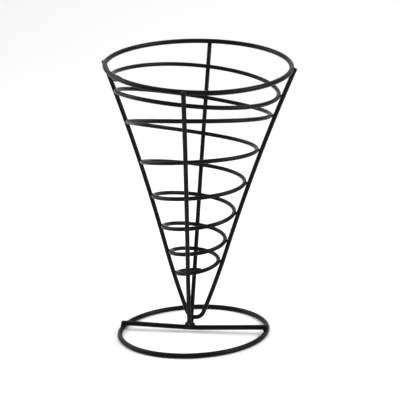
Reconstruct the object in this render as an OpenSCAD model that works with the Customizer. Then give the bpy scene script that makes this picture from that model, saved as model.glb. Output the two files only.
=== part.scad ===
// Wire cone basket: a cone of round wire that stands on a wire base ring.
// Two V-shaped leg wires carry a slanted rim ring, and a coil winds up inside the legs.
// The origin is the middle of the base ring, on the table.

/* [Rim] */
// Outside diameter of the rim ring
rim_outer_d = 127; // [115:1:140]
// Thickness of the rim's wire
rim_wire = 3.2; // [2.6:0.1:4]
// Height of the middle of the rim above the table
rim_height = 185.6; // [170:0.2:205]
// Slant of the rim: its front is low and its back is high
rim_slant = 11; // [0:0.5:14]
// Sideways lean of the rim and of the cone, down on the right
rim_lean = 4.3; // [0:0.1:6]
// Distance of the middle of the rim to the right of the base ring's middle
rim_shift = 11.4; // [6:0.2:14]
// Depth of the flattened side of the rim, where it is pressed out of round
rim_dent = 2.6; // [0:0.1:3]
// Direction of the flattened side, from the right toward the back
rim_dent_at = 235; // [225:1:245]

/* [Base ring] */
// Outside diameter of the base ring
base_outer_d = 106.4; // [98:0.2:125]
// Thickness of the base ring's wire
base_wire = 3.4; // [2.8:0.1:4.4]

/* [Crossbar] */
// Thickness of the crossbar's wire
bar_wire = 3.4; // [2.8:0.1:4.4]
// Gap between the crossbar's left end and the outside of the base ring, seen from above
bar_end_left = 0.7; // [0.2:0.1:3]
// Gap between the crossbar's right end and the outside of the base ring, seen from above
bar_end_right = 0.2; // [0.2:0.1:3]
// Turn of the crossbar against the plane of the side legs
bar_turn = -5; // [-8:0.5:8]
// How far the middle of the crossbar sags below its ends
bar_sag = 1.9; // [0.2:0.1:2.4]

/* [Leg wires] */
// Thickness of the two leg wires
leg_wire = 3; // [2.4:0.1:3.6]
// Radius of the bend at the foot of each leg wire
leg_bend = 6.1; // [5:0.1:8]
// Radius of the outward bulge of each leg above its bend
leg_bulge = 580; // [400:20:1200]
// Turn of that bulge
leg_bulge_turn = 4.9; // [2:0.1:6]
// Radius of the slight hollow of each leg above the bulge
leg_bow = 1250; // [900:50:3000]
// How far the legs rise past the rim's wire to their cut ends
leg_end_rise = 1.3; // [1:0.1:4]
// Distance of the side leg wire's foot to the right of the base ring's middle
side_foot_x = 2; // [0:0.1:4]
// Sideways shift of the side leg wire against the middle of the rim
side_top_shift = 0.3; // [0:0.1:0.6]
// How deep the side legs are pressed into the rim's wire by welding
side_bite = 1.3; // [0.8:0.1:1.8]
// How deep the front and back legs are pressed into the rim's wire by welding
front_bite = 1.1; // [0.4:0.1:1.9]
// Height of the weld between the two leg wires where they cross at the foot
foot_lift = 1.4; // [0.6:0.1:2]

/* [Coil] */
// Thickness of the coil's wire
coil_wire = 2.8; // [2.2:0.1:3.2]
// Number of turns of the coil
coil_turns = 7.37; // [7:0.01:7.5]
// Direction of the coil's bottom end, from the right toward the back
coil_start = 80; // [70:1:100]
// Height of the coil's bottom end above the middle of the side leg wire's bend
coil_foot_rise = 25.5; // [23:0.1:29]
// Depth of the coil's top turn below the middle of the rim
coil_top_drop = 6.7; // [6:0.1:9]
// Rise of the coil in a turn at its bottom end
pitch_foot = 8.7; // [8.2:0.1:9.6]
// Rise of the coil in a turn at its top end
pitch_top = 13.7; // [12:0.1:14.2]
// Unevenness of the coil's turns at the bottom end
sway_foot = 3.7; // [1:0.1:4]
// Unevenness of the coil's turns at the top end
sway_top = 5.8; // [2:0.1:6]
// Depth of the coil's top end below the rim's wire beside it
end_drop = 1.6; // [1.4:0.1:4]
// How far the coil's top end lies inside the rim's wire, seen from above
end_in = 1.1; // [0.9:0.1:2]
// Rise of the slack turn that bulges up near the rim
slack_rise = 5.3; // [0:0.1:6]
// Distance of the slack turn from the bottom end, in turns
slack_at = 5.72; // [5.4:0.02:6]

/* [Welds] */
// Width of the weld that joins the front and back leg wire to the crossbar
foot_weld_d = 7; // [6.6:0.1:8.4]
// Width of the weld between the bends of the two leg wires
tie_weld_d = 5.6; // [5:0.1:6]
// Width of the welds between the crossbar's ends and the base ring
bar_weld_d = 4.6; // [4:0.1:5.4]

/* [Hidden] */
wire_colour = [0.09, 0.09, 0.09];

// Clearance that is left wherever one piece lies on another
seat_gap = 0.05;

// How far inside the base ring's middle line the crossbar's welds sit
bar_weld_in = 0.8;

// Place of the foot's weld against the front and back leg wire and the crossbar
foot_weld_left = 0.8;
foot_weld_rise = 2;

// Middle lines of the rings
rim_r = (rim_outer_d - rim_wire) / 2;
base_r = (base_outer_d - base_wire) / 2;

// Heights of the middle lines where the wires are stacked at the foot
bar_end_z = base_wire + seat_gap + bar_wire / 2;
bar_z = bar_end_z - bar_sag;
front_foot_z = bar_z + (bar_wire + leg_wire) / 2 + seat_gap;
side_foot_z = front_foot_z + leg_wire + foot_lift;

// Bend centres in the plane of each leg wire, measured from the middle of the rim along the lean
side_dx = side_foot_x - rim_shift;
side_dz = side_foot_z + leg_bend - rim_height;
side_c = [side_dx * cos(rim_lean) - side_dz * sin(rim_lean),
    side_dx * sin(rim_lean) + side_dz * cos(rim_lean)];
front_c = [0, leg_bend - (rim_height - front_foot_z) / cos(rim_lean)];

// The rim is a round arc, two tighter shoulders and a flatter arc at its dent, all tangent.
// They are laid out with the dent at positive x.
dent_half = 58;
shoulder_r = 42.5;
shoulder_c = (rim_r - shoulder_r) * [cos(dent_half), sin(dent_half)];
dent_back = shoulder_c[0] - rim_r + rim_dent;
flat_r = (pow(shoulder_r, 2) - pow(shoulder_c[1], 2) - pow(dent_back, 2)) / (2 * (dent_back + shoulder_r));
flat_c = [rim_r - rim_dent - flat_r, 0];
flat_half = atan2(shoulder_c[1], shoulder_c[0] - flat_c[0]);
flat_end = flat_c + flat_r * [cos(flat_half), sin(flat_half)];

// Distance of the rim's wire from the rim's middle, in a direction counted from the dent
function ray(centre, radius, turn) =
    let (along = centre * [cos(turn), sin(turn)])
    along + sqrt(radius * radius - centre * centre + along * along);
function rim_reach(turn) =
    turn > dent_half ? rim_r
    : turn > atan2(flat_end[1], flat_end[0]) ? ray(shoulder_c, shoulder_r, turn)
    : ray(flat_c, flat_r, turn);
function off_dent(angle) = abs((angle - rim_dent_at + 180) % 360 - 180);

// Middle of the rim's wire in the plane of each leg
rim_right = [rim_r, 0];
rim_left = [rim_reach(off_dent(180)), 0];
rim_front = rim_reach(off_dent(270)) * [cos(rim_slant), -sin(rim_slant)];
rim_back = rim_r * [cos(rim_slant), sin(rim_slant)];

// Each leg bulges outward above the bend and is slightly hollow above that, up to the rim, which
// it is pressed against from outside. Its arcs are tangent to each other and to the bend.
// In its own half plane the leg lies at positive x.
function on_circle(radius, turn) = radius * [cos(turn), sin(turn)];
leg_far_x = leg_bulge + leg_bow - (leg_bulge - leg_bend) * cos(leg_bulge_turn);
leg_far_y = (leg_bulge - leg_bend) * sin(leg_bulge_turn);
leg_far = norm([leg_far_x, leg_far_y]);
function leg_near(bite) = leg_bow + (rim_wire + leg_wire) / 2 - bite;

// A leg's turn where the bulge meets the hollow, and the middles of those two arcs
function leg_turn(c, p, bite) =
    let (d = norm(p - c), near = leg_near(bite))
    atan2(p[1] - c[1], p[0] - c[0]) - atan2(leg_far_y, leg_far_x)
    - acos((d * d + leg_far * leg_far - near * near) / (2 * d * leg_far));
function leg(c, p, bite) =
    let (turn = leg_turn(c, p, bite), bulge = c - on_circle(leg_bulge - leg_bend, turn - leg_bulge_turn))
    [turn, bulge, bulge + on_circle(leg_bulge + leg_bow, turn), p];
function across(v) = [-v[0], v[1]];

right_leg = leg(side_c, rim_right, side_bite - side_top_shift);
left_leg = leg(across(side_c), rim_left, side_bite + side_top_shift);
front_leg = leg(front_c, rim_front, front_bite);
back_leg = leg(front_c, rim_back, front_bite);

// Distance of a leg's middle line from the cone's middle at a height, and its slope there
function in_bulge(leg, z) = z < leg[1][1] + leg_bulge * sin(leg[0]);
function leg_out(leg, z) =
    in_bulge(leg, z) ? leg[1][0] + sqrt(pow(leg_bulge, 2) - pow(z - leg[1][1], 2))
    : leg[2][0] - sqrt(pow(leg_bow, 2) - pow(z - leg[2][1], 2));
function leg_slope(leg, z) =
    in_bulge(leg, z) ? asin((z - leg[1][1]) / leg_bulge) : asin((z - leg[2][1]) / leg_bow);

// Neighbouring arcs of a wire end a hair apart inside a joint that is a hair thicker than the wire
joint_gap = 0.04;
joint_swell = 0.04;
function arc_angle(length, radius) = length / radius * 180 / PI;

// The coil's height at t turns from its bottom end: the pitch grows from the foot to the middle
// and shrinks again to the top, and each turn sways a little, as wound by hand.
// The pitch half way up is what lets the coil reach from the foot to the rim.
sway_rate_foot = 0.73;
sway_rate_top = 1.33;
sway_phase = 17.8;
slow_sway = 1;
slow_sway_rate = 0.75;
slow_sway_phase = 17;
slack_turns = 0.73;
end_turns = 0.09;
coil_drop = -side_c[1] - coil_foot_rise;
pitch_middle = (6 * (coil_drop - coil_top_drop) / coil_turns - pitch_foot - pitch_top) / 4;
pitch_b = 4 * pitch_middle - 3 * pitch_foot - pitch_top;
pitch_c = 2 * pitch_foot - 4 * pitch_middle + 2 * pitch_top;
function climb(s) = coil_turns * s * (pitch_foot + pitch_b * s / 2 + pitch_c * s * s / 3);
function sway(s) = (s * (sway_top + sway_foot) - sway_foot)
    * sin(sway_phase + 360 * coil_turns * s * (sway_rate_foot + (sway_rate_top - sway_rate_foot) * s / 2));
function slack(t) = slack_rise * exp(-pow((t - slack_at) / slack_turns, 2));
function drift(t) = slow_sway * sin(slow_sway_phase + 360 * slow_sway_rate * t);
function free_z(t) = climb(t / coil_turns) + sway(t / coil_turns) + drift(t) + slack(t) - coil_drop;

// The top end turns to the rim's wire
end_angle = coil_start + 360 * coil_turns;
end_z = rim_reach(off_dent(end_angle)) * sin(end_angle) * sin(rim_slant) - end_drop;
end_inset = rim_wire - side_bite + end_in;
function at_end(t) = exp(-pow((t - coil_turns) / end_turns, 2));
function coil_z(t) = free_z(t) + (end_z - free_z(coil_turns)) * at_end(t);

// The coil lies against the inside of all four legs, and leaves them only at its top end
coil_seat = (leg_wire + coil_wire) / 2 + seat_gap;
function coil_at(t) =
    let (z = coil_z(t), angle = coil_start + 360 * t,
        inset = coil_seat / cos(leg_slope(right_leg, z)) + end_inset * at_end(t),
        right = leg_out(right_leg, z), left = leg_out(left_leg, z),
        front = leg_out(front_leg, z), back = leg_out(back_leg, z))
    [(right - left) / 2 + ((right + left) / 2 - inset) * cos(angle),
        (back - front) / 2 + ((back + front) / 2 - inset) * sin(angle), z];

// Sweep of the coil's wire
coil_sides = 10;
coil_steps = 280;
heading_turns = 0.002;
function unit(v) = v / norm(v);
function coil_heading(t) = unit(coil_at(t + heading_turns) - coil_at(t - heading_turns));
function coil_out(t) =
    let (angle = coil_start + 360 * t, out = [cos(angle), sin(angle), 0], ahead = coil_heading(t))
    unit(out - (out * ahead) * ahead);
function coil_ring(t) =
    let (middle = coil_at(t), out = coil_out(t), up = cross(coil_heading(t), out))
    [for (i = [0:coil_sides - 1])
        middle + coil_wire / 2 * (cos(360 * i / coil_sides) * out + sin(360 * i / coil_sides) * up)];

// The basket leans about the middle of the rim
module basket() {
    translate([rim_shift, 0, rim_height])
        rotate([0, rim_lean, 0])
            children();
}

// Part of a ring of wire that stands in the plane of x and z
module arc_wire(radius, from, to, wire, steps) {
    rotate([90, 0, 0])
        rotate([0, 0, from])
            rotate_extrude(angle = to - from, $fn = steps)
                translate([radius, 0])
                    circle(d = wire, $fn = 32);
}

// Part of a ring of wire that lies flat, a hair short at its start
module flat_arc(centre, radius, from, to) {
    gap = arc_angle(joint_gap, radius);
    translate([centre[0], centre[1], 0])
        rotate([0, 0, from + gap])
            rotate_extrude(angle = to - from - gap, $fn = 180)
                translate([radius, 0])
                    circle(d = rim_wire, $fn = 32);
}

// Joint of two arcs of the rim, with the sphere's poles along the wire
module rim_joint(at, turn) {
    translate([at[0], at[1], 0])
        rotate([90, 0, turn])
            sphere(d = rim_wire + joint_swell, $fn = 32);
}

module rim_shape() {
    rotate([rim_slant, 0, 0])
        rotate([0, 0, rim_dent_at]) {
            flat_arc([0, 0], rim_r, dent_half, 360 - dent_half);
            flat_arc(shoulder_c, shoulder_r, flat_half, dent_half);
            flat_arc([shoulder_c[0], -shoulder_c[1]], shoulder_r, -dent_half, -flat_half);
            flat_arc(flat_c, flat_r, -flat_half, flat_half);
            for (side = [-1, 1]) {
                rim_joint(rim_r * [cos(dent_half), side * sin(dent_half)], side * dent_half);
                rim_joint([flat_end[0], side * flat_end[1]], side * flat_half);
            }
        }
}

module wire_joint(at, wire) {
    translate([at[0], 0, at[1]])
        sphere(d = wire + joint_swell, $fn = 32);
}

// One leg from just above its bend to its cut end
module leg_shape(c, leg, wire) {
    turn = leg[0];
    foot_turn = turn - leg_bulge_turn;
    seat = leg[3] - leg[2];
    seat_turn = 180 - asin(seat[1] / norm(seat));
    translate([leg[1][0], 0, leg[1][1]])
        arc_wire(leg_bulge, foot_turn + arc_angle(joint_gap, leg_bulge), turn, wire, 1440);
    translate([leg[2][0], 0, leg[2][1]])
        arc_wire(leg_bow, seat_turn - arc_angle(leg_end_rise, leg_bow),
            180 + turn - arc_angle(joint_gap, leg_bow), wire, 2880);
    wire_joint(leg[1] + on_circle(leg_bulge, turn), wire);
    wire_joint(c + on_circle(leg_bend, foot_turn), wire);
}

// The bend at the foot, from the left or front leg to the right or back leg
module bend(c, low, high, wire) {
    translate([c[0], 0, c[1]])
        arc_wire(leg_bend, -180 - low[0] + leg_bulge_turn, high[0] - leg_bulge_turn, wire, 96);
}

module side_bend(wire) {
    bend(side_c, left_leg, right_leg, wire);
}

module front_bend(wire) {
    rotate([0, 0, 90])
        bend(front_c, front_leg, back_leg, wire);
}

module side_legs(wire) {
    leg_shape(side_c, right_leg, wire);
    mirror([1, 0, 0])
        leg_shape(across(side_c), left_leg, wire);
}

module front_legs(wire) {
    rotate([0, 0, 90]) {
        leg_shape(front_c, back_leg, wire);
        mirror([1, 0, 0])
            leg_shape(front_c, front_leg, wire);
    }
}

module crossbar_shape(wire) {
    rise = atan(bar_sag / base_r);
    translate([0, 0, bar_z])
        rotate([0, 0, bar_turn]) {
            rotate([0, 90, 0])
                sphere(d = wire + joint_swell, $fn = 32);
            rotate([0, 90 - rise, 0])
                cylinder(h = (base_outer_d / 2 - bar_end_right) / cos(rise), d = wire, $fn = 32);
            rotate([0, rise - 90, 0])
                cylinder(h = (base_outer_d / 2 - bar_end_left) / cos(rise), d = wire, $fn = 32);
        }
}

module base_ring_shape(wire) {
    translate([0, 0, base_wire / 2])
        rotate_extrude($fn = 180)
            translate([base_r, 0])
                circle(d = wire, $fn = 32);
}

module rim_ring() {
    color(wire_colour)
        basket()
            difference() {
                rim_shape();
                side_legs(leg_wire + 2 * seat_gap);
                front_legs(leg_wire + 2 * seat_gap);
            }
}

module side_leg_wire() {
    color(wire_colour)
        basket() {
            side_bend(leg_wire);
            side_legs(leg_wire);
        }
}

module front_leg_wire() {
    color(wire_colour)
        basket() {
            front_bend(leg_wire);
            front_legs(leg_wire);
        }
}

module coil() {
    points = [for (i = [0:coil_steps]) each coil_ring(coil_turns * i / coil_steps)];
    walls = [for (i = [0:coil_steps - 1]) for (j = [0:coil_sides - 1])
        let (a = i * coil_sides, b = (j + 1) % coil_sides)
        each [[a + j, a + b, a + coil_sides + j], [a + b, a + coil_sides + b, a + coil_sides + j]]];
    bottom = [for (j = [coil_sides - 1:-1:0]) j];
    top = [for (j = [0:coil_sides - 1]) coil_steps * coil_sides + j];
    color(wire_colour)
        basket()
            polyhedron(points = points, faces = concat(walls, [bottom, top]));
}

module base_ring() {
    color(wire_colour)
        base_ring_shape(base_wire);
}

module crossbar() {
    color(wire_colour)
        crossbar_shape(bar_wire);
}

// Weld metal at the foot, around the bends of both leg wires and the middle of the crossbar
module foot_weld() {
    front_foot_x = rim_shift - (rim_height - front_foot_z) * tan(rim_lean);
    color(wire_colour)
        difference() {
            union() {
                translate([front_foot_x - foot_weld_left, 0, bar_z + foot_weld_rise])
                    sphere(d = foot_weld_d, $fn = 40);
                translate([(front_foot_x + side_foot_x) / 2, 0, (front_foot_z + side_foot_z) / 2])
                    sphere(d = tie_weld_d, $fn = 40);
            }
            crossbar_shape(bar_wire + 2 * seat_gap);
            basket() {
                side_bend(leg_wire + 2 * seat_gap);
                front_bend(leg_wire + 2 * seat_gap);
            }
        }
}

// Weld metal between the crossbar's ends and the base ring
module bar_welds() {
    color(wire_colour)
        difference() {
            rotate([0, 0, bar_turn])
                for (side = [-1, 1])
                    translate([side * (base_r - bar_weld_in), 0, base_wire])
                        sphere(d = bar_weld_d, $fn = 32);
            base_ring_shape(base_wire + 2 * seat_gap);
            crossbar_shape(bar_wire + 2 * seat_gap);
        }
}

rim_ring();
side_leg_wire();
front_leg_wire();
coil();
base_ring();
crossbar();
foot_weld();
bar_welds();
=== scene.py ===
"""Looks of the wire cone basket: black powder-coated wire, welded where the wires cross.

Sizes are in millimetres and angles in degrees until a mesh is made.
The basket's own frame has its origin in the middle of the rim and leans with the cone.
"""

import math
from types import SimpleNamespace

import bpy
from mathutils import Matrix, Vector


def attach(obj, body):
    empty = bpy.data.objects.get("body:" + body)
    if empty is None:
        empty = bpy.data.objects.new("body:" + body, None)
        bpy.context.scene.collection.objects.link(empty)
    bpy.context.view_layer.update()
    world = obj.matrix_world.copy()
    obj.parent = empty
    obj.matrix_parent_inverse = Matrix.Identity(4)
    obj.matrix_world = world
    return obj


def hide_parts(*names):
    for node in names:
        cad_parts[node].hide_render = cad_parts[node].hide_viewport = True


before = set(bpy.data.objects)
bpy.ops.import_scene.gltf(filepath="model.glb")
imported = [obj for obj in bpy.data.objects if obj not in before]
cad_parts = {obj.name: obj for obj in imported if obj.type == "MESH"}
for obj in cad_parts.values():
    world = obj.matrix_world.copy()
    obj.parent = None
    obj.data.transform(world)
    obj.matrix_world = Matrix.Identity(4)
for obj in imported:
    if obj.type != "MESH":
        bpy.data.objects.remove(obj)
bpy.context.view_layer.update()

MM = 0.001
UP = Vector((0, 0, 1))

# ---------------------------------------------------------------- sizes, as in the CAD model

rim_outer_d = 127.0
rim_wire = 3.2
rim_height = 185.6
rim_slant = 11.0
rim_lean = 4.3
rim_shift = 11.4
rim_dent = 2.6
rim_dent_at = 235.0
dent_half = 58.0
shoulder_r = 42.5

base_outer_d = 106.4
base_wire = 3.4

bar_wire = 3.4
bar_end_left = 0.7
bar_end_right = 0.2
bar_turn = -5.0
bar_sag = 1.9

leg_wire = 3.0
leg_bend = 6.1
leg_bulge = 580.0
leg_bulge_turn = 4.9
leg_bow = 1250.0
leg_end_rise = 1.3
side_foot_x = 2.0
side_top_shift = 0.3
side_bite = 1.3
front_bite = 1.1
foot_lift = 1.4
seat_gap = 0.05

coil = SimpleNamespace(
    wire=2.8,
    turns=7.37,
    start=80.0,
    pitch_foot=8.7,
    pitch_top=13.7,
    sway_foot=3.7,
    sway_top=5.8,
    sway_rate_foot=0.73,
    sway_rate_top=1.33,
    sway_phase=17.8,
    slow_sway=1.0,
    slow_sway_rate=0.75,
    slow_sway_phase=17.0,
    slack_rise=5.3,
    slack_at=5.72,
    slack_turns=0.73,
    end_turns=0.09,
)
coil_foot_rise = 25.5
coil_top_drop = 6.7
end_drop = 1.6
end_in = 1.1

foot_weld_left = 0.8
foot_weld_rise = 2.0

rim_r = (rim_outer_d - rim_wire) / 2
base_r = (base_outer_d - base_wire) / 2
bar_end_z = base_wire + seat_gap + bar_wire / 2
bar_z = bar_end_z - bar_sag
front_foot_z = bar_z + (bar_wire + leg_wire) / 2 + seat_gap
side_foot_z = front_foot_z + leg_wire + foot_lift

# ---------------------------------------------------------------- sizes of the looks alone

# The crossbar's short soft bend at its middle, and the share of it by which its arms come down
bar_bend_soft = 3.0
bar_arms_down = 0.75

# Cut ends: the length that is rounded, and the share of the thickness that goes there
END_SOFT = 0.36
END_SHARE = 0.2
BAR_END_SOFT = 1.6
BAR_END_SHARE = 0.55

# How fine the wires are: sides round them, close rings at a cut end, degrees between rings
WIRE_SIDES = 32
COIL_SIDES = 28
END_RINGS = 4
RING_STEP = 1.5
BEND_STEP = 3
BULGE_STEP = 0.2
HOLLOW_STEP = 0.15
BAR_STEPS = 80
SHARP_ANGLE = 48

# The same for the coil, in turns between its rings
COIL_STEPS = 1120
COIL_FIRST_STEP = 0.0016
COIL_LAST_STEP = 0.00026
COIL_NEAR = 0.004

# Lumps of the weld metal, and how deep its edges lie in the wires
WELD_LUMP = 1.3
WELD_SINK = 0.035


def weld_size(reach, fillet, bead_d, lumps, voxels):
    """A kind of weld: how far it reaches, its fillet, its bead, and how lumpy and fine it is."""
    return SimpleNamespace(reach=reach, fillet=fillet, bead_d=bead_d, lumps=lumps, voxels=voxels)


crossing_weld = weld_size(reach=2.7, fillet=1.15, bead_d=1.7, lumps=0.25, voxels=26)
rim_weld = weld_size(reach=3.6, fillet=1.3, bead_d=2.4, lumps=0.35, voxels=34)
coil_end_weld = weld_size(reach=5.5, fillet=2.0, bead_d=4.5, lumps=0.35, voxels=48)
foot_low_weld = weld_size(reach=5.8, fillet=2.2, bead_d=6.1, lumps=0.9, voxels=58)
foot_high_weld = weld_size(reach=3.6, fillet=1.6, bead_d=3.2, lumps=0.5, voxels=40)
bar_end_weld = weld_size(reach=3.9, fillet=1.0, bead_d=3.8, lumps=0.4, voxels=42)

# Where the coil's end weld lies, in turns before the coil's end
coil_end_back = 0.006

# Where the beads lie beside the middles of their welds, and the small flare at the foot
coil_end_shift = Vector((-0.2, -0.3, -0.5))
foot_low_left = 1.2
foot_high_left = 0.9
flare_at = Vector((-0.2, -0.2, 5.6))
flare_d = 3.2

# The welds at the crossbar's ends: how far in from the base ring's middle line and above its
# top, and how much of the bar's rounded end stays clear of them
bar_weld_in = 0.3
bar_weld_rise = -0.2
bar_cut_share = 0.7

# ---------------------------------------------------------------- expressions on node sockets


class Socket:
    """A node's output that takes part in Python expressions. Each operation adds its node."""

    def __init__(self, tree, socket):
        self.tree = tree
        self.socket = socket

    def maths(self, operation, values):
        vector = any(is_vector(value) for value in values)
        kind = "ShaderNodeVectorMath" if vector else "ShaderNodeMath"
        return self.tree.add(kind, {"operation": operation}, values)

    def apply(self, operation, *others):
        return self.maths(operation, [self, *others])

    def reflect(self, operation, other):
        return self.maths(operation, [other, self])

    def __add__(self, other):
        return self.apply("ADD", other)

    def __radd__(self, other):
        return self.reflect("ADD", other)

    def __sub__(self, other):
        return self.apply("SUBTRACT", other)

    def __rsub__(self, other):
        return self.reflect("SUBTRACT", other)

    def __mul__(self, other):
        return self.apply("MULTIPLY", other)

    def __rmul__(self, other):
        return self.reflect("MULTIPLY", other)

    def __truediv__(self, other):
        return self.apply("DIVIDE", other)

    def __rtruediv__(self, other):
        return self.reflect("DIVIDE", other)

    def __neg__(self):
        return self.reflect("SUBTRACT", 0.0)

    def at_least(self, other):
        return self.apply("MAXIMUM", other)

    def at_most(self, other):
        return self.apply("MINIMUM", other)

    def smooth_least(self, other, softness):
        return self.apply("SMOOTH_MIN", other, softness)

    def clamped(self):
        return self.at_least(0.0).at_most(1.0)

    def dot(self, other):
        settings = {"operation": "DOT_PRODUCT"}
        return self.tree.add("ShaderNodeVectorMath", settings, [self, other], out="Value")

    def length(self):
        settings = {"operation": "LENGTH"}
        return self.tree.add("ShaderNodeVectorMath", settings, [self], out="Value")


def is_vector(value):
    if isinstance(value, Socket):
        return value.socket.type == "VECTOR"
    return isinstance(value, (tuple, Vector))


# The coil's rule is worked out on plain numbers and on sockets alike


def sine(x):
    return x.apply("SINE") if isinstance(x, Socket) else math.sin(x)


def cosine(x):
    return x.apply("COSINE") if isinstance(x, Socket) else math.cos(x)


def root(x):
    return x.apply("SQRT") if isinstance(x, Socket) else math.sqrt(x)


def power_of_e(x):
    return x.apply("EXPONENT") if isinstance(x, Socket) else math.exp(x)


def below(value, limit):
    """1 below a limit and 0 above it."""
    return value.apply("LESS_THAN", limit) if isinstance(value, Socket) else float(value < limit)


class Tree:
    """A node tree in the making. add() makes any node, and read() one named input of the tree."""

    def __init__(self, tree):
        self.tree = tree
        self.inputs = None

    def add(self, kind, settings=None, values=None, out=0):
        node = self.tree.nodes.new(kind)
        for name, value in (settings or {}).items():
            setattr(node, name, value)
        pairs = values.items() if isinstance(values, dict) else enumerate(values or [])
        for name, value in pairs:
            slot = node.inputs[name]
            if isinstance(value, Socket):
                self.tree.links.new(value.socket, slot)
            elif slot.type == "VECTOR" and isinstance(value, (int, float)):
                slot.default_value = (value, value, value)
            else:
                slot.default_value = value
        return Socket(self, node.outputs[out]) if node.outputs else node

    def other(self, socket, out):
        """Another output of the node that a socket comes from."""
        return Socket(self, socket.socket.node.outputs[out])

    def mix(self, factor, one, two):
        """Colour between two colours. A Mix node's sockets share names, so they go by number."""
        return self.add("ShaderNodeMix", {"data_type": "RGBA"}, {0: factor, 6: one, 7: two}, out=2)

    def read(self, name):
        if self.inputs is None:
            self.inputs = self.tree.nodes.new("NodeGroupInput")
        return Socket(self, self.inputs.outputs[name])


FLOAT = "NodeSocketFloat"
WHOLE = "NodeSocketInt"
VECTOR = "NodeSocketVector"


def shape_tree(name, sockets):
    """A Geometry Nodes tree that takes a geometry, the named inputs and a finish."""
    group = bpy.data.node_groups.new(name, "GeometryNodeTree")
    group.interface.new_socket("Geometry", in_out="INPUT", socket_type="NodeSocketGeometry")
    for socket_name, kind in sockets:
        group.interface.new_socket(socket_name, in_out="INPUT", socket_type=kind)
    group.interface.new_socket("Finish", in_out="INPUT", socket_type="NodeSocketMaterial")
    group.interface.new_socket("Geometry", in_out="OUTPUT", socket_type="NodeSocketGeometry")
    return Tree(group)


def finish_shape(tree, geometry):
    """Ends a tree: the shape is made real, gets its finish and leaves the tree."""
    real = tree.add("GeometryNodeRealizeInstances", values={"Geometry": geometry})
    smooth = tree.add("GeometryNodeSetShadeSmooth", values={"Geometry": real})
    finished = tree.add(
        "GeometryNodeSetMaterial", values={"Geometry": smooth, "Material": tree.read("Finish")}
    )
    tree.add("NodeGroupOutput", values={"Geometry": finished})


def shaped(name, source, tree, values, finish):
    """The mesh that a tree makes from a source mesh, as a plain mesh without the modifier."""
    maker = bpy.data.objects.new(name + "_maker", source)
    bpy.context.scene.collection.objects.link(maker)
    modifier = maker.modifiers.new("shape", "NODES")
    modifier.node_group = tree.tree
    slots = {}
    for item in tree.tree.interface.items_tree:
        if item.item_type == "SOCKET" and item.in_out == "INPUT":
            slots[item.name] = item.identifier
    for key, value in values.items():
        modifier[slots[key]] = value
    modifier[slots["Finish"]] = finish
    ready = maker.evaluated_get(bpy.context.evaluated_depsgraph_get())
    mesh = bpy.data.meshes.new_from_object(ready)
    mesh.name = name
    bpy.data.objects.remove(maker)
    return mesh


# ---------------------------------------------------------------- where the wires run


def turned(angle, axis):
    return Matrix.Rotation(math.radians(angle), 4, axis)


rim_place = turned(rim_slant, "X") @ turned(rim_dent_at, "Z")
basket_place = Matrix.Translation((rim_shift, 0, rim_height)) @ turned(rim_lean, "Y")


def polar(centre, radius, turn):
    angle = math.radians(turn)
    return Vector((centre[0] + radius * math.cos(angle), centre[1] + radius * math.sin(angle)))


def spot(x, y, z=0.0):
    return Vector((x, y, z))


def turns_between(first, last, step):
    """Angles from the first to the last, evenly spread and about a step apart."""
    count = max(2, math.ceil(abs(last - first) / step))
    return [first + (last - first) * i / count for i in range(count + 1)]


def arc_points(centre, radius, first, last, step):
    """Points on an arc in a plane, from one angle to another."""
    return [polar(centre, radius, turn) for turn in turns_between(first, last, step)]


# The rim: a round arc, two tighter shoulders and a flatter arc at its dent
shoulder_c = polar((0, 0), rim_r - shoulder_r, dent_half)
dent_back = shoulder_c[0] - rim_r + rim_dent
flat_r = (shoulder_r**2 - shoulder_c[1] ** 2 - dent_back**2) / (2 * (dent_back + shoulder_r))
flat_c = Vector((rim_r - rim_dent - flat_r, 0))
flat_half = math.degrees(math.atan2(shoulder_c[1], shoulder_c[0] - flat_c[0]))
flat_end = polar(flat_c, flat_r, flat_half)
rim_arcs = [
    ((0.0, 0.0), rim_r, dent_half, 360 - dent_half),
    ((shoulder_c[0], -shoulder_c[1]), shoulder_r, -dent_half, -flat_half),
    (tuple(flat_c), flat_r, -flat_half, flat_half),
    (tuple(shoulder_c), shoulder_r, flat_half, dent_half),
]


def rim_arc_at(turn):
    """The arc of the rim that a direction from the dent meets: its middle and its radius."""
    if abs(turn) > dent_half:
        return (0.0, 0.0), rim_r
    if abs(turn) > math.degrees(math.atan2(flat_end[1], flat_end[0])):
        return (shoulder_c[0], math.copysign(shoulder_c[1], turn)), shoulder_r
    return tuple(flat_c), flat_r


def rim_reach(turn):
    """Distance of the rim's middle line from the rim's middle, in a direction from the dent."""
    centre, radius = rim_arc_at(turn)
    along = centre[0] * math.cos(math.radians(turn)) + centre[1] * math.sin(math.radians(turn))
    return along + math.sqrt(radius**2 - centre[0] ** 2 - centre[1] ** 2 + along**2)


def on_rim(turn):
    """A point of the rim's middle line, in a direction from the dent."""
    return basket_place @ rim_place @ spot(*polar((0, 0), rim_reach(turn), turn))


def off_dent(azimuth):
    """A direction from the right, counted from the dent instead."""
    return (azimuth - rim_dent_at + 180) % 360 - 180


slant = math.radians(rim_slant)
rim_right = Vector((rim_r, 0))
rim_left = Vector((rim_reach(off_dent(180)), 0))
rim_front = rim_reach(off_dent(270)) * Vector((math.cos(slant), -math.sin(slant)))
rim_back = rim_r * Vector((math.cos(slant), math.sin(slant)))

# Middles of the bends, in the plane of each leg wire
lean = math.radians(rim_lean)
side_dx = side_foot_x - rim_shift
side_dz = side_foot_z + leg_bend - rim_height
side_c = Vector(
    (
        side_dx * math.cos(lean) - side_dz * math.sin(lean),
        side_dx * math.sin(lean) + side_dz * math.cos(lean),
    )
)
front_c = Vector((0, leg_bend - (rim_height - front_foot_z) / math.cos(lean)))


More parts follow.
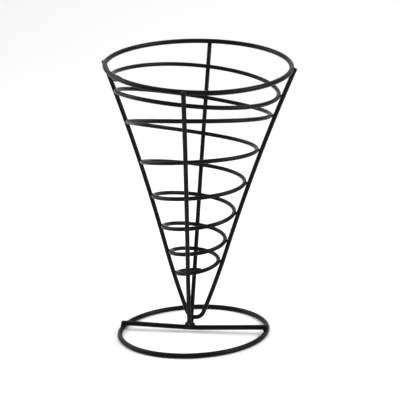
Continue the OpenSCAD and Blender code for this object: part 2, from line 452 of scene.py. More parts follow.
class Round:
    """A wire near a weld, as a circle that it runs on there."""

    def __init__(self, centre, axis, radius, wire):
        self.centre = centre
        self.axis = axis.normalized()
        self.radius = radius
        self.wire = wire


def in_basket(wire):
    """A wire that was given in the basket's frame, in the frame of the table."""
    axis = basket_place.to_3x3() @ wire.axis
    return Round(basket_place @ wire.centre, axis, wire.radius, wire.wire)


class Leg:
    """One leg in its own half plane: out from the cone's middle, and up.

    It bulges outward above the bend and is slightly hollow above that, up to the rim, which it is
    pressed against from outside. Its arcs are tangent to each other and to the bend.
    """

    def __init__(self, bend_c, seat_point, bite, out):
        self.out = out
        bulge_turn = math.radians(leg_bulge_turn)
        past_bend = leg_bulge - leg_bend
        far = Vector(
            (
                leg_bulge + leg_bow - past_bend * math.cos(bulge_turn),
                past_bend * math.sin(bulge_turn),
            )
        )
        near = leg_bow + (rim_wire + leg_wire) / 2 - bite
        to_seat = seat_point - bend_c
        squares = to_seat.length_squared + far.length_squared - near**2
        share = squares / (2 * to_seat.length * far.length)
        to_far = math.atan2(to_seat[1], to_seat[0]) - math.atan2(far[1], far[0])
        self.turn = math.degrees(to_far - math.acos(share))
        self.foot_turn = self.turn - leg_bulge_turn
        self.bulge_c = bend_c - polar((0, 0), past_bend, self.foot_turn)
        self.hollow_c = polar(self.bulge_c, leg_bulge + leg_bow, self.turn)
        self.change_z = polar(self.bulge_c, leg_bulge, self.turn)[1]
        from_middle = seat_point - self.hollow_c
        self.seat_turn = 180 - math.degrees(math.asin(from_middle[1] / from_middle.length))
        self.end_turn = self.seat_turn - math.degrees(leg_end_rise / leg_bow)

    def placed(self, at):
        """A point of the leg's half plane, in the basket's frame."""
        return self.out * at[0] + UP * at[1]

    def hollow_point(self, turn):
        return self.placed(polar(self.hollow_c, leg_bow, turn))

    def path(self):
        """Middle line from just above the bend to the cut end."""
        bulge = arc_points(self.bulge_c, leg_bulge, self.foot_turn, self.turn, BULGE_STEP)
        hollow = arc_points(self.hollow_c, leg_bow, 180 + self.turn, self.end_turn, HOLLOW_STEP)
        return [self.placed(at) for at in bulge + hollow[1:]]

    def round_at(self, height):
        """The circle that the leg runs on at a height."""
        low = height < self.change_z
        centre = self.placed(self.bulge_c if low else self.hollow_c)
        return in_basket(Round(centre, self.out.cross(UP), leg_bulge if low else leg_bow, leg_wire))


def across(point):
    """A point of the plane of x and z, seen from the other side."""
    return Vector((-point[0], point[1]))


right_leg = Leg(side_c, rim_right, side_bite - side_top_shift, spot(1, 0))
left_leg = Leg(across(side_c), rim_left, side_bite + side_top_shift, spot(-1, 0))
front_leg = Leg(front_c, rim_front, front_bite, spot(0, -1))
back_leg = Leg(front_c, rim_back, front_bite, spot(0, 1))
LEGS = (
    ("right", right_leg, 0),
    ("back", back_leg, 90),
    ("left", left_leg, 180),
    ("front", front_leg, 270),
)

# What the coil's rule needs to know of the legs and the rim
coil.seat = (leg_wire + coil.wire) / 2 + seat_gap
coil.drop = -side_c[1] - coil_foot_rise
coil_climb = coil.drop - coil_top_drop
coil.pitch_middle = (6 * coil_climb / coil.turns - coil.pitch_foot - coil.pitch_top) / 4
coil.end_rise = 0.0
coil.end_in = rim_wire - side_bite + end_in
coil.bulge = leg_bulge
coil.bow = leg_bow
coil.lean = rim_lean
coil.shift = rim_shift
coil.height = rim_height
for side, leg, _ in LEGS:
    setattr(coil, side + "_bulge_x", leg.bulge_c[0])
    setattr(coil, side + "_bulge_z", leg.bulge_c[1])
    setattr(coil, side + "_hollow_x", leg.hollow_c[0])
    setattr(coil, side + "_hollow_z", leg.hollow_c[1])
    setattr(coil, side + "_change_z", leg.change_z)


# In the four functions below, c holds the coil's sizes, as numbers or as the sockets of its tree


def leg_out(c, side, height):
    """Distance of a leg's middle line from the cone's middle at a height, and its slope's sine."""
    up_bulge = height - getattr(c, side + "_bulge_z")
    up_hollow = height - getattr(c, side + "_hollow_z")
    low = below(height, getattr(c, side + "_change_z"))
    in_bulge = getattr(c, side + "_bulge_x") + root(c.bulge * c.bulge - up_bulge * up_bulge)
    in_hollow = getattr(c, side + "_hollow_x") - root(c.bow * c.bow - up_hollow * up_hollow)
    slope = up_hollow / c.bow + low * (up_bulge / c.bulge - up_hollow / c.bow)
    return in_hollow + low * (in_bulge - in_hollow), slope


def at_end(c, t):
    """1 at the coil's top end, and soon 0 below it."""
    left = (t - c.turns) / c.end_turns
    return power_of_e(-(left * left))


def coil_height(c, t):
    """Height of the coil's middle line below the rim's middle, at t turns from its bottom end.

    The climb has a pitch that grows upward. Two slow waves, one slack turn and the rise at the
    top end come on top of it.
    """
    s = t / c.turns
    pitch_b = 4 * c.pitch_middle - 3 * c.pitch_foot - c.pitch_top
    pitch_c = 2 * c.pitch_foot - 4 * c.pitch_middle + 2 * c.pitch_top
    climb = t * (c.pitch_foot + pitch_b * s / 2 + pitch_c * s * s / 3)
    rate = c.sway_rate_foot + (c.sway_rate_top - c.sway_rate_foot) * s / 2
    sway_by = s * (c.sway_top + c.sway_foot) - c.sway_foot
    sway = sway_by * sine(c.sway_phase * (math.pi / 180) + t * rate * math.tau)
    slow_phase = c.slow_sway_phase * (math.pi / 180)
    drift = c.slow_sway * sine(slow_phase + t * c.slow_sway_rate * math.tau)
    off = (t - c.slack_at) / c.slack_turns
    slack = c.slack_rise * power_of_e(-(off * off))
    return climb + sway + drift + slack + c.end_rise * at_end(c, t) - c.drop


def coil_point(c, t):
    """Middle line of the coil at t turns: its parts along x, y and z."""
    height = coil_height(c, t)
    angle = c.start * (math.pi / 180) + t * math.tau
    right, slope = leg_out(c, "right", height)
    left, front, back = (leg_out(c, side, height)[0] for side in ("left", "front", "back"))
    inset = c.seat / root(1 - slope * slope) + c.end_in * at_end(c, t)
    x = (right - left) / 2 + ((right + left) / 2 - inset) * cosine(angle)
    y = (back - front) / 2 + ((back + front) / 2 - inset) * sine(angle)
    turn = c.lean * (math.pi / 180)
    return (
        c.shift + x * cosine(turn) + height * sine(turn),
        y,
        c.height - x * sine(turn) + height * cosine(turn),
    )


# The coil's top end turns up to the rim's wire
end_angle = coil.start + 360 * coil.turns
end_off = rim_reach(off_dent(end_angle)) * math.sin(math.radians(end_angle))
coil.end_rise = end_off * math.sin(slant) - end_drop - coil_height(coil, coil.turns)

# ---------------------------------------------------------------- trees for the wires

# A ring has 1 for Closed, which puts every point of it a metre from a cut end
WIRE_INPUTS = [
    ("Wire", FLOAT),
    ("Sides", WHOLE),
    ("Softened end", FLOAT),
    ("End share", FLOAT),
    ("Closed", FLOAT),
]
COIL_SIZES = [name for name in vars(coil) if name != "wire"]


def sweep_wire(tree, path):
    """Sweeps a round wire along a path, with softened cut ends, and ends the tree."""
    along = tree.add("GeometryNodeSplineParameter", out="Length")
    whole = tree.add("GeometryNodeSplineLength", out="Length")
    from_end = along.at_most(whole - along).at_least(tree.read("Closed"))
    inward = 1 - (from_end / tree.read("Softened end")).clamped()
    scale = 1 - tree.read("End share") * inward * inward
    marked = tree.add(
        "GeometryNodeStoreNamedAttribute",
        {"data_type": "FLOAT", "domain": "POINT"},
        {"Geometry": path, "Name": "from_cut_end", "Value": from_end},
    )
    profile = tree.add(
        "GeometryNodeCurvePrimitiveCircle",
        {"mode": "RADIUS"},
        {"Resolution": tree.read("Sides"), "Radius": tree.read("Wire") / 2},
    )
    tube = tree.add(
        "GeometryNodeCurveToMesh",
        values={"Curve": marked, "Profile Curve": profile, "Scale": scale, "Fill Caps": True},
    )
    finish_shape(tree, tube)


def round_wire_tree():
    """A round wire along the source's edges."""
    tree = shape_tree("round wire along a path", WIRE_INPUTS)
    path = tree.add("GeometryNodeMeshToCurve", values={"Mesh": tree.read("Geometry")})
    sweep_wire(tree, path)
    return tree


def coil_tree():
    """The coil by its rule: its height and its reach follow from the turns behind it."""
    steps_inputs = [
        ("Steps", WHOLE),
        ("First step", FLOAT),
        ("Last step", FLOAT),
        ("End rings", WHOLE),
    ]
    size_inputs = [(name, FLOAT) for name in COIL_SIZES]
    tree = shape_tree("wound coil", size_inputs + steps_inputs + WIRE_INPUTS)
    sizes = SimpleNamespace(**{name: tree.read(name) for name in COIL_SIZES})
    steps = tree.read("Steps")
    rings = tree.read("End rings")
    first_step = tree.read("First step")
    last_step = tree.read("Last step")
    line = tree.add(
        "GeometryNodeMeshLine",
        {"mode": "OFFSET"},
        {"Count": steps + rings * 2 + 1, "Offset": (0.0, 0.0, MM)},
    )
    index = tree.add("GeometryNodeInputIndex")
    long_step = (sizes.turns - rings * (first_step + last_step)) / steps
    t = (
        index.at_most(rings) * first_step
        + (index - rings).at_least(0.0).at_most(steps) * long_step
        + (index - rings - steps).at_least(0.0) * last_step
    )
    x, y, z = coil_point(sizes, t)
    place = tree.add("ShaderNodeCombineXYZ", values=[x * MM, y * MM, z * MM])
    wound = tree.add("GeometryNodeSetPosition", values={"Geometry": line, "Position": place})
    sweep_wire(tree, tree.add("GeometryNodeMeshToCurve", values={"Mesh": wound}))
    return tree


# ---------------------------------------------------------------- tree for the welds

# The weld's box against its reach, the voxels that its skin is blurred over, the least fillet
BOX_SHARE = 1.1
BLUR_VOXELS = 4
LEAST_FILLET = 0.02


def arc_distance(tree, wire):
    """Distance to the surface of a wire that runs on a circle near the weld."""
    away = tree.add("GeometryNodeInputPosition") - tree.read(wire + " circle centre")
    height = away.dot(tree.read(wire + " circle axis"))
    spread = root(away.dot(away) - height * height) - tree.read(wire + " circle radius")
    return root(spread * spread + height * height) - tree.read(wire + " wire radius")


def bead_distance(tree, here, bead):
    return (here - tree.read(bead + " centre")).length() - tree.read(bead + " radius")


def weld_tree():
    """A weld where two wires meet: a soft fillet between them and lumpy beads."""
    parts = []
    for wire in ("First", "Second"):
        parts += [(wire + " circle centre", VECTOR), (wire + " circle axis", VECTOR)]
        parts += [(wire + " circle radius", FLOAT), (wire + " wire radius", FLOAT)]
    for bead in ("Bead", "Side bead"):
        parts += [(bead + " centre", VECTOR), (bead + " radius", FLOAT)]
    parts += [("First end", VECTOR), ("First heading", VECTOR), ("Middle", VECTOR)]
    parts += [(name, FLOAT) for name in ("Reach", "Fillet", "Lumps", "Lump size", "Seed", "Sink")]
    parts += [("Voxels", WHOLE)]
    tree = shape_tree("weld between two wires", parts)
    middle = tree.read("Middle")
    reach = tree.read("Reach")
    voxels = tree.read("Voxels")

    here = tree.add("GeometryNodeInputPosition")
    beyond = (here - tree.read("First end")).dot(tree.read("First heading"))
    first = arc_distance(tree, "First").at_least(beyond)
    second = arc_distance(tree, "Second")
    out = (here - middle).length() / reach
    fillet = tree.read("Fillet") * (1 - out * out).at_least(LEAST_FILLET)
    wires = first.smooth_least(second, fillet)
    side_bead = bead_distance(tree, here, "Side bead")
    bead = bead_distance(tree, here, "Bead").smooth_least(side_bead, fillet)
    noise = tree.add(
        "ShaderNodeTexNoise",
        {"noise_dimensions": "4D"},
        {
            "Vector": here / tree.read("Lump size"),
            "W": tree.read("Seed"),
            "Scale": 1.0,
            "Detail": 2.0,
        },
    )
    weld = wires.smooth_least(bead + tree.read("Lumps") * (noise - 0.5), fillet)
    limited = (weld + tree.read("Sink")).at_least((out - 1) * reach)

    voxel = reach * (2 * BOX_SHARE) / voxels
    density = (0.5 - limited / (voxel * BLUR_VOXELS)).clamped()
    half = reach * BOX_SHARE
    box = {"Density": density, "Background": 0.0, "Min": middle - half, "Max": middle + half}
    box.update({"Resolution " + axis: voxels for axis in "XYZ"})
    grid = tree.add("GeometryNodeVolumeCube", values=box)
    skin = tree.add(
        "GeometryNodeVolumeToMesh",
        {"resolution_mode": "GRID"},
        {"Volume": grid, "Threshold": 0.5},
    )
    finish_shape(tree, skin)
    return tree


# ---------------------------------------------------------------- finishes

# Sizes of the coat's patterns
PEEL_SIZE = 1.5
GRAIN_SIZE = 0.42
CLOUD_SIZE = 16.0
DRIFT_SIZE = 5.0
NIB_SPACING = 2.6
RIPPLE_SIZE = 1.9
STREAK_SIZE = 0.25

# The coat's tone: its darkest and palest tint, and how much the clouds and the grain change it
DARK_TINT = (0.62, 0.62, 0.64)
PALE_TINT = (1.5, 1.48, 1.46)
CLOUD_IN_TONE = 0.9
GRAIN_IN_TONE = 0.7

# Its gloss: how much the drift and the grain change it, and its shine
DRIFT_IN_GLOSS = 0.16
GRAIN_IN_GLOSS = 0.12
COAT_SHINE = 0.085

# Its skin: the grain against the peel, the nibs alone and on a weld's lumps, and the bump
GRAIN_HEIGHT = 0.3
NIB_HEIGHT = 0.05
NIB_ON_LUMPS = 0.04
BUMP_STRENGTH = 0.75
BUMP_HEIGHT = 0.34

# Its nibs: how slim they are in their cells, which cells have none, and how sharply that ends
NIB_SLIMNESS = 5.5
NIB_RARITY = 0.72
NIB_CUT = 6

# Where the coat is thin: the metal under it, how far from a cut end it shows, how much of it
# shows, how ragged its edge is, and how much glossier it is
BARE_METAL = (0.04, 0.0395, 0.039, 1.0)
BARE_REACH = 0.32
BARE_AT_ENDS = 0.3
BARE_WHERE_RUBBED = 0.7
BARE_RAGGED = 0.5
BARE_GLOSS = 0.08


def powder_coat(name, tone, gloss, peel, lumps=0.0, thin_ends=False, rubbed_below=None):
    """Black powder coat on wire: a fine orange peel, small nibs, and a film that thins at cut ends.

    tone is the coat's grey, gloss its mean roughness, peel the height of its skin's waves and
    lumps that of a weld's ripples. A wire has thin ends, or it is rubbed below a height.
    """
    finish = bpy.data.materials.new(name)
    finish.use_nodes = True
    tree = Tree(finish.node_tree)
    finish.node_tree.nodes.clear()
    place = tree.add("ShaderNodeTexCoord", out="Object")

    def noise(size, detail=3.0, roughness=0.5, seed=0.0):
        scale = 1 / (size * MM)
        return tree.add(
            "ShaderNodeTexNoise",
            {"noise_dimensions": "4D"},
            {"Vector": place, "W": seed, "Scale": scale, "Detail": detail, "Roughness": roughness},
        )

    waves = noise(PEEL_SIZE, detail=2.0)
    grain = noise(GRAIN_SIZE, roughness=0.6, seed=3.0)
    cloud = noise(CLOUD_SIZE, detail=2.0, seed=7.0)
    drift = noise(DRIFT_SIZE, roughness=0.6, seed=11.0)

    # Nibs are grains of dust under the coat, in the middle of a few of the cells
    cells = tree.add(
        "ShaderNodeTexVoronoi",
        {"feature": "F1"},
        {"Vector": place, "Scale": 1 / (NIB_SPACING * MM)},
    )
    rare = tree.add("ShaderNodeSeparateColor", values=[tree.other(cells, "Color")])
    nib = (1 - cells * NIB_SLIMNESS).clamped() * ((rare - NIB_RARITY) * NIB_CUT).clamped()

    shade = (cloud * 0.6 + drift * 0.4 - 0.5) * CLOUD_IN_TONE + 0.5
    dark = (*(tone * tint for tint in DARK_TINT), 1.0)
    pale = (*(tone * tint for tint in PALE_TINT), 1.0)
    colour = tree.mix((shade + (grain - 0.5) * GRAIN_IN_TONE).clamped(), dark, pale)
    rough = gloss + (drift - 0.5) * DRIFT_IN_GLOSS + (grain - 0.5) * GRAIN_IN_GLOSS
    nib_height = NIB_HEIGHT + lumps * NIB_ON_LUMPS
    height = waves * peel + grain * (peel * GRAIN_HEIGHT) + nib * nib_height
    if lumps:
        height = height + noise(RIPPLE_SIZE, roughness=0.55, seed=17.0) * lumps

    bare = None
    if thin_ends:
        from_end = tree.add("ShaderNodeAttribute", {"attribute_name": "from_cut_end"}, out="Fac")
        ragged = from_end / MM + (grain - 0.5) * BARE_RAGGED
        bare = (1 - ragged / BARE_REACH).clamped() * BARE_AT_ENDS
    elif rubbed_below is not None:
        up = tree.add("ShaderNodeSeparateXYZ", values=[place], out="Z")
        ragged = up / MM - (drift - 0.42) * BARE_RAGGED
        bare = (1 - ragged / rubbed_below).clamped() * BARE_WHERE_RUBBED
    if bare is not None:
        streaks = noise(STREAK_SIZE, detail=2.0, roughness=0.6, seed=23.0)
        colour = tree.mix(bare * (streaks * 0.6 + 0.5), colour, BARE_METAL)
        rough = rough - bare * BARE_GLOSS

    bump = tree.add(
        "ShaderNodeBump",
        values={"Strength": BUMP_STRENGTH, "Distance": 1.0 * MM, "Height": height * BUMP_HEIGHT},
    )
    coat = tree.add(
        "ShaderNodeBsdfPrincipled",
        values={
            "Base Color": colour,
            "Roughness": rough.clamped(),
            "IOR": 1.5,
            "Specular IOR Level": COAT_SHINE,
            "Normal": bump,
        },
    )
    tree.add("ShaderNodeOutputMaterial", values={"Surface": coat})
    return finish


def studio_paper():
    """Matt white paper for the floor and the backdrop."""
    finish = bpy.data.materials.new("studio_paper")
    finish.use_nodes = True
    finish.node_tree.nodes.clear()
    tree = Tree(finish.node_tree)
    place = tree.add("ShaderNodeTexCoord", out="Object")
    fibre = tree.add(
        "ShaderNodeTexNoise", values={"Vector": place, "Scale": 900.0, "Detail": 3.0}
    )
    colour = tree.mix(fibre, (0.9, 0.9, 0.9, 1.0), (0.93, 0.93, 0.93, 1.0))
    skin = tree.add(
        "ShaderNodeBsdfPrincipled",
        values={"Base Color": colour, "Roughness": 0.9, "Specular IOR Level": 0.1},
    )
    tree.add("ShaderNodeOutputMaterial", values={"Surface": skin})
    return finish


coat_rim = powder_coat("powder_coat_rim", tone=0.0034, gloss=0.34, peel=0.42)
coat_leg = powder_coat("powder_coat_leg", tone=0.0042, gloss=0.36, peel=0.5, thin_ends=True)
coat_coil = powder_coat("powder_coat_coil", tone=0.0038, gloss=0.34, peel=0.42, thin_ends=True)
coat_base = powder_coat("powder_coat_base", tone=0.003, gloss=0.36, peel=0.46, rubbed_below=0.22)
coat_bar = powder_coat("powder_coat_crossbar", tone=0.003, gloss=0.38, peel=0.46, thin_ends=True)
coat_weld = powder_coat("powder_coat_weld", tone=0.0037, gloss=0.32, peel=0.5, lumps=0.9)

# ---------------------------------------------------------------- wires

wires = round_wire_tree()
winding = coil_tree()
welding = weld_tree()


def path_mesh(name, points, closed, soft):
    """A line of edges through points, in metres, with close points in its two softened ends."""
    points = list(points)
    if not closed:
        close = [soft * (i + 1) / END_RINGS for i in range(END_RINGS)]
        first = (points[1] - points[0]).normalized()
        last = (points[-2] - points[-1]).normalized()
        start = [points[0]] + [points[0] + first * d for d in close]
        end = [points[-1] + last * d for d in reversed(close)] + [points[-1]]
        points = start + points[1:-1] + end
    mesh = bpy.data.meshes.new(name + "_path")
    edges = [(i, i + 1) for i in range(len(points) - 1)]
    if closed:
        edges.append((len(points) - 1, 0))
    mesh.from_pydata([p * MM for p in points], edges, [])
    return mesh


def add_piece(name, mesh, *nodes):
    """Puts a finished mesh in the scene, as a part of the basket."""
    mesh.set_sharp_from_angle(angle=math.radians(SHARP_ANGLE))
    piece = bpy.data.objects.new(name, mesh)
    bpy.context.scene.collection.objects.link(piece)
    if nodes:
        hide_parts(*nodes)
    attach(piece, "root")
    return piece


def wire_values(wire, sides, closed=False, soft=END_SOFT, share=END_SHARE):
    """What a wire's tree takes for its section and its cut ends."""
    return {
        "Wire": wire * MM,
        "Sides": sides,
        "Softened end": soft * MM,
        "End share": share,
        "Closed": 1.0 if closed else 0.0,
    }


def add_wire(name, points, wire, finish, closed=False, soft=END_SOFT, share=END_SHARE):
    """Adds a wire along points, in place of the node of its name."""
    values = wire_values(wire, WIRE_SIDES, closed, soft, share)
    mesh = shaped(name, path_mesh(name, points, closed, soft), wires, values, finish)
    add_piece(name, mesh, name)


# The rim
rim_points = []
for arc in rim_arcs:
    rim_points += arc_points(*arc, RING_STEP)[:-1]
rim_points = [basket_place @ rim_place @ spot(*p) for p in rim_points]
add_wire("rim_ring", rim_points, rim_wire, coat_rim, closed=True)


def leg_pair_points(low, high, bend_c):
    """Middle line of a leg wire: down one leg, round the bend and up the other leg."""
    bend = arc_points(bend_c, leg_bend, -180 - low.foot_turn, high.foot_turn, BEND_STEP)[1:-1]
    points = low.path()[::-1] + [high.placed(at) for at in bend] + high.path()
    return [basket_place @ p for p in points]


# The two leg wires
add_wire("side_leg_wire", leg_pair_points(left_leg, right_leg, side_c), leg_wire, coat_leg)
add_wire("front_leg_wire", leg_pair_points(front_leg, back_leg, front_c), leg_wire, coat_leg)

# The base ring
base_points = [
    spot(*p, base_wire / 2) for p in arc_points((0, 0), base_r, 0, 360, RING_STEP)[:-1]
]
add_wire("base_ring", base_points, base_wire, coat_base, closed=True)


def bar_height(x):
    """Height of the crossbar's middle line: it sags to its middle, with a short soft bend there."""
    soft = bar_bend_soft
    slope = bar_sag / base_r
    return bar_z + slope * (math.sqrt(x * x + soft * soft) - soft * bar_arms_down)


# The crossbar
bar_from = -(base_outer_d / 2 - bar_end_left)
bar_to = base_outer_d / 2 - bar_end_right
bar_place = turned(bar_turn, "Z")
bar_points = []
for i in range(BAR_STEPS + 1):
    bar_x = bar_from + (bar_to - bar_from) * i / BAR_STEPS
    bar_points.append(bar_place @ spot(bar_x, 0, bar_height(bar_x)))
add_wire("crossbar", bar_points, bar_wire, coat_bar, soft=BAR_END_SOFT, share=BAR_END_SHARE)

# The coil
coil_values = {name: getattr(coil, name) for name in COIL_SIZES}
coil_values.update(wire_values(coil.wire, COIL_SIDES))
coil_values["Steps"] = COIL_STEPS
coil_values["First step"] = COIL_FIRST_STEP
coil_values["Last step"] = COIL_LAST_STEP
coil_values["End rings"] = END_RINGS
coil_start = bpy.data.meshes.new("coil_start")
add_piece("coil", shaped("coil", coil_start, winding, coil_values, coat_coil), "coil")

# ---------------------------------------------------------------- welds


def coil_at(t):
    return Vector(coil_point(coil, t))


def coil_round(t):
    """The circle that the coil runs on near t turns."""
    a, b, c = coil_at(t - COIL_NEAR), coil_at(t), coil_at(t + COIL_NEAR)
    ab, ac = b - a, c - a
    axis = ab.cross(ac)
    to_centre = (axis.cross(ab) * ac.length_squared + ac.cross(axis) * ab.length_squared) / (
        2 * axis.length_squared
    )
    return Round(a + to_centre, axis, to_centre.length, coil.wire)


def straight(point, heading, wire):
    """A straight wire, as a circle so wide that the weld sees no bend."""
    side = heading.cross(UP).normalized()
    far = 2500.0
    return Round(point + side * far, heading.cross(side), far, wire)


def rim_round(turn):
    """The circle that the rim runs on, in a direction from the dent."""
    arc_c, arc_r = rim_arc_at(turn)
    return in_basket(Round(rim_place @ spot(*arc_c), rim_place.to_3x3() @ UP, arc_r, rim_wire))


# A cut end and a bead so far below the basket that the weld doesn't meet them
NO_CUT = (UP * -1000, -UP)
NO_BEAD = (UP * -1000, 0.0)


def weld_mesh(name, kind, first, second, middle, seed, bead_at=None, cut=NO_CUT, side_bead=NO_BEAD):
    """The metal of one weld between two wires.

    bead_at is the bead's middle where it isn't the weld's own, cut is the first wire's cut end
    and its heading there, and side_bead is the middle and the diameter of a second bead.
    """
    cut_end, heading = cut
    values = {
        "First end": tuple(cut_end * MM),
        "First heading": tuple(heading.normalized()),
        "Middle": tuple(middle * MM),
        "Reach": kind.reach * MM,
        "Fillet": kind.fillet * MM,
        "Bead centre": tuple((middle if bead_at is None else bead_at) * MM),
        "Bead radius": kind.bead_d / 2 * MM,
        "Side bead centre": tuple(side_bead[0] * MM),
        "Side bead radius": side_bead[1] / 2 * MM,
        "Lumps": kind.lumps * MM,
        "Lump size": WELD_LUMP * MM,
        "Seed": seed,
        "Sink": WELD_SINK * MM,
        "Voxels": kind.voxels,
    }
    for label, wire in (("First", first), ("Second", second)):
        values[label + " circle centre"] = tuple(wire.centre * MM)
        values[label + " circle axis"] = tuple(wire.axis)
        values[label + " circle radius"] = wire.radius * MM
        values[label + " wire radius"] = wire.wire / 2 * MM
    return shaped(name, bpy.data.meshes.new(name + "_start"), welding, values, coat_weld)


def joined(name, meshes):
    """Several welds as one mesh."""
    points, faces = [], []
    for mesh in meshes:
        start = len(points)
        points += [v.co.copy() for v in mesh.vertices]
        faces += [[start + i for i in face.vertices] for face in mesh.polygons]
    whole = bpy.data.meshes.new(name)
    whole.from_pydata(points, [], faces)
    whole.materials.append(coat_weld)
    whole.polygons.foreach_set("use_smooth", [True] * len(whole.polygons))
    return whole


# Each crossing of the coil and a leg. The weld of one within these turns of the coil's bottom
# end stops at the cut end
COIL_CUT_NEAR = 0.06
coil_cut = (coil_at(0), coil_at(0) - coil_at(COIL_NEAR))
crossing_welds = []
for side, leg, azimuth in LEGS:
    t = ((azimuth - coil.start) % 360) / 360
    while t < coil.turns:
        height = coil_height(coil, t)
        leg_point = basket_place @ leg.placed((leg_out(coil, side, height)[0], height))
        crossing_welds.append(
            weld_mesh(
                "crossing",
                crossing_weld,
                coil_round(t),
                leg.round_at(height),
                (coil_at(t) + leg_point) / 2,
                seed=len(crossing_welds) * 1.7,
                cut=coil_cut if t < COIL_CUT_NEAR else NO_CUT,
            )
        )
        t += 1
add_piece("coil_welds", joined("coil_welds", crossing_welds))

# Where each leg is pressed into the rim
rim_welds = []
for side, leg, azimuth in LEGS:
    turn = off_dent(azimuth)
    leg_point = basket_place @ leg.hollow_point(leg.seat_turn)
    leg_end = basket_place @ leg.hollow_point(leg.end_turn)
    rim_welds.append(
        weld_mesh(
            "rim_weld",
            rim_weld,
            leg.round_at(0.0),
            rim_round(turn),
            (on_rim(turn) + leg_point) / 2,
            seed=40 + len(rim_welds) * 2.3,
            cut=(leg_end, leg_end - leg_point),
        )
    )
add_piece("rim_welds", joined("rim_welds", rim_welds))

# The coil's top end, welded under the rim's flattened side
top_t = coil.turns - coil_end_back
top_point = coil_at(top_t)
top_in_rim = (basket_place @ rim_place).inverted() @ top_point
top_off = math.degrees(math.atan2(top_in_rim[1], top_in_rim[0]))
top_middle = (top_point + on_rim(top_off)) / 2
top_weld = weld_mesh(
    "coil_end_weld",
    coil_end_weld,
    coil_round(top_t),
    rim_round(top_off),
    top_middle,
    seed=61.0,
    bead_at=top_middle + coil_end_shift,
    cut=(coil_at(coil.turns), coil_at(coil.turns) - coil_at(coil.turns - COIL_NEAR)),
)
add_piece("coil_end_weld", joined("coil_end_weld", [top_weld]))

# The weld at the foot: both bends and the middle of the crossbar
front_foot_x = rim_shift - (rim_height - front_foot_z) * math.tan(lean)
front_bend = in_basket(Round(spot(0, *front_c), spot(1, 0), leg_bend, leg_wire))
side_bend = in_basket(Round(spot(side_c[0], 0, side_c[1]), spot(0, 1), leg_bend, leg_wire))
foot_point = spot(front_foot_x - foot_weld_left, 0, bar_z + foot_weld_rise)
tie_point = spot((front_foot_x + side_foot_x) / 2, 0, (front_foot_z + side_foot_z) / 2)
foot_parts = [
    weld_mesh(
        "foot_low",
        foot_low_weld,
        front_bend,
        straight(spot(0, 0, bar_z), bar_place @ spot(1, 0), bar_wire),
        foot_point + spot(foot_low_left, 0),
        seed=71.0,
        bead_at=foot_point,
        side_bead=(flare_at, flare_d),
    ),
    weld_mesh(
        "foot_high",
        foot_high_weld,
        side_bend,
        front_bend,
        tie_point,
        seed=77.0,
        bead_at=tie_point - spot(foot_high_left, 0),
    ),
]
add_piece("foot_weld", joined("foot_weld", foot_parts), "foot_weld")

# The welds between the crossbar's ends and the base ring
base_round = Round(spot(0, 0, base_wire / 2), UP, base_r, base_wire)
bar_parts = []
for side, bar_x in ((-1, bar_from), (1, bar_to)):
    heading = bar_place @ Vector((side, 0, bar_sag / base_r))
    bar_end = bar_place @ spot(bar_x, 0, bar_height(bar_x))
    bead_point = bar_place @ spot(side * (base_r - bar_weld_in), 0, base_wire + bar_weld_rise)
    bar_parts.append(
        weld_mesh(
            "bar_weld",
            bar_end_weld,
            straight(bar_end, heading, bar_wire),
            base_round,
            bead_point,
            seed=85 + side,
            cut=(bar_end - heading * BAR_END_SOFT * bar_cut_share, heading),
        )
    )
add_piece("bar_welds", joined("bar_welds", bar_parts), "bar_welds")

# ---------------------------------------------------------------- floor, light and camera


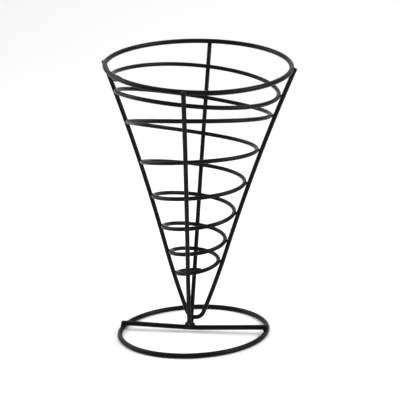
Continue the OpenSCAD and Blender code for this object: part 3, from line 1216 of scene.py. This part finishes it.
def studio_floor():
    """A plain white floor that curves up into a backdrop far behind the basket, in metres."""
    half_width, front, back, rise, sweep, steps = 8.0, -7.0, 2.6, 3.2, 1.2, 16
    profile = [(front, 0.0), (0.0, 0.0), (back - sweep, 0.0)]
    for i in range(1, steps + 1):
        angle = math.radians(90 * i / steps)
        depth = back - sweep + sweep * math.sin(angle)
        profile.append((depth, sweep - sweep * math.cos(angle)))
    profile.append((back, rise))
    points = [(side * half_width, y, z) for y, z in profile for side in (-1, 1)]
    faces = [(2 * i, 2 * i + 1, 2 * i + 3, 2 * i + 2) for i in range(len(profile) - 1)]
    mesh = bpy.data.meshes.new("studio_floor")
    mesh.from_pydata(points, [], faces)
    mesh.polygons.foreach_set("use_smooth", [True] * len(mesh.polygons))
    mesh.materials.append(studio_paper())
    floor = bpy.data.objects.new("studio_floor", mesh)
    bpy.context.scene.collection.objects.link(floor)


def soft_light(name, place, target, width, height, watts):
    """A rectangular lamp, placed and aimed in metres."""
    lamp = bpy.data.lights.new(name, "AREA")
    lamp.shape = "RECTANGLE"
    lamp.size = width
    lamp.size_y = height
    lamp.energy = watts
    holder = bpy.data.objects.new(name, lamp)
    holder.location = place
    aim = Vector(target) - Vector(place)
    holder.rotation_euler = aim.to_track_quat("-Z", "Y").to_euler()
    bpy.context.scene.collection.objects.link(holder)


studio_floor()
soft_light("left_light", (-1.25, 0.15, 0.75), (0, 0, 0.1), width=0.9, height=0.9, watts=12)
soft_light("right_light", (1.24, -0.33, 0.65), (0, 0, 0.1), width=0.7, height=0.8, watts=16)
soft_light("top_light", (0.0, 0.3, 2.2), (0, 0.1, 0), width=4.6, height=4.6, watts=56)

ROOM_LIGHT = 0.4
world = bpy.data.worlds.new("studio")
world.use_nodes = True
room = world.node_tree.nodes["Background"]
room.inputs["Color"].default_value = (1.0, 1.0, 1.0, 1.0)
room.inputs["Strength"].default_value = ROOM_LIGHT
bpy.context.scene.world = world
bpy.context.scene.view_settings.view_transform = "Standard"

# The photograph's view: where the eye is and looks, in metres, and how the picture is turned
EYE = Vector((0.1061, -0.6755, 0.2396))
LOOK_AT = Vector((0.0, 0.0, 0.09))
PHOTO_TURN = 2.79
PHOTO_SHIFT = (0.0314, 0.0162)
SENSOR = 36.0
LENS = 92.4

view = bpy.data.cameras.new("photo_view")
view.sensor_fit = "HORIZONTAL"
view.sensor_width = SENSOR
view.lens = LENS
view.shift_x, view.shift_y = PHOTO_SHIFT
view.clip_start = 0.01
view.clip_end = 50.0
camera = bpy.data.objects.new("photo_view", view)
level = (LOOK_AT - EYE).to_track_quat("-Z", "Y").to_matrix().to_4x4()
camera.matrix_world = Matrix.Translation(EYE) @ level @ turned(-PHOTO_TURN, "Z")
bpy.context.scene.collection.objects.link(camera)
bpy.context.scene.camera = camera
